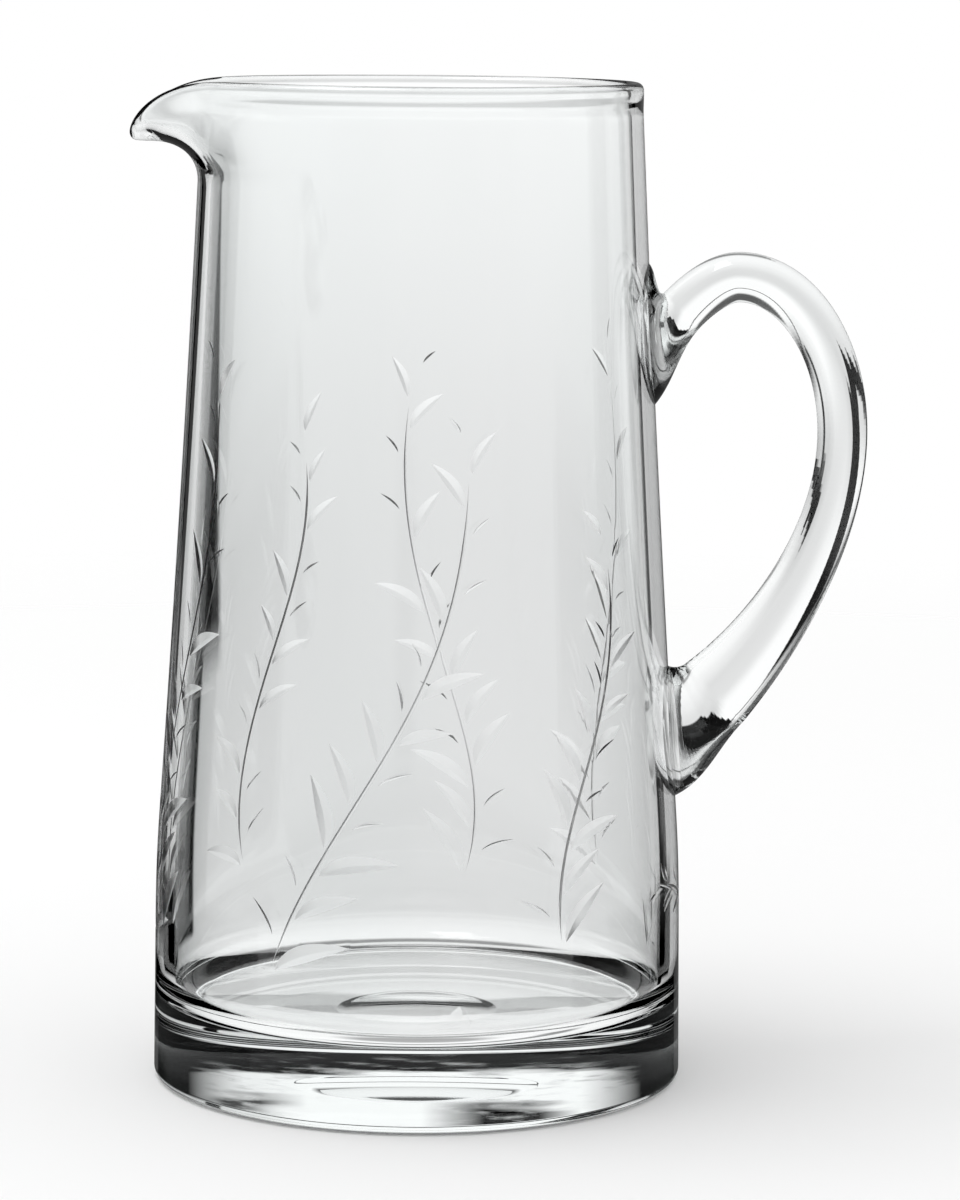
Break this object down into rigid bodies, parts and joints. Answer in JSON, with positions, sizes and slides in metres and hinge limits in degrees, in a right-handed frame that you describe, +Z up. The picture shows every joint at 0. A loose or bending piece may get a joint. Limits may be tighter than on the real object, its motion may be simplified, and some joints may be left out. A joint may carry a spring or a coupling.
{
  "type": "cocktail pitcher",
  "caption": "Tapered clear glass pitcher with a heavy base, a pulled pouring lip and an applied solid glass handle, for mixing and pouring drinks",
  "frame": {"origin": "centre of the foot, on the plane that the pitcher stands on", "axes": "+Z up along the body's axis, -X towards the spout, +X towards the handle, +Y away from the viewer of the picture"},
  "size_m": [0.1729, 0.1254, 0.235],
  "materials": {
    "body_glass": "clear blown glass, fire-polished, with a shallow cut leaf spray",
    "handle_glass": "clear drawn glass, fire-polished"
  },
  "bodies": {
    "root": {"body": "body_glass", "handle": "handle_glass"}
  },
  "joints": []
}
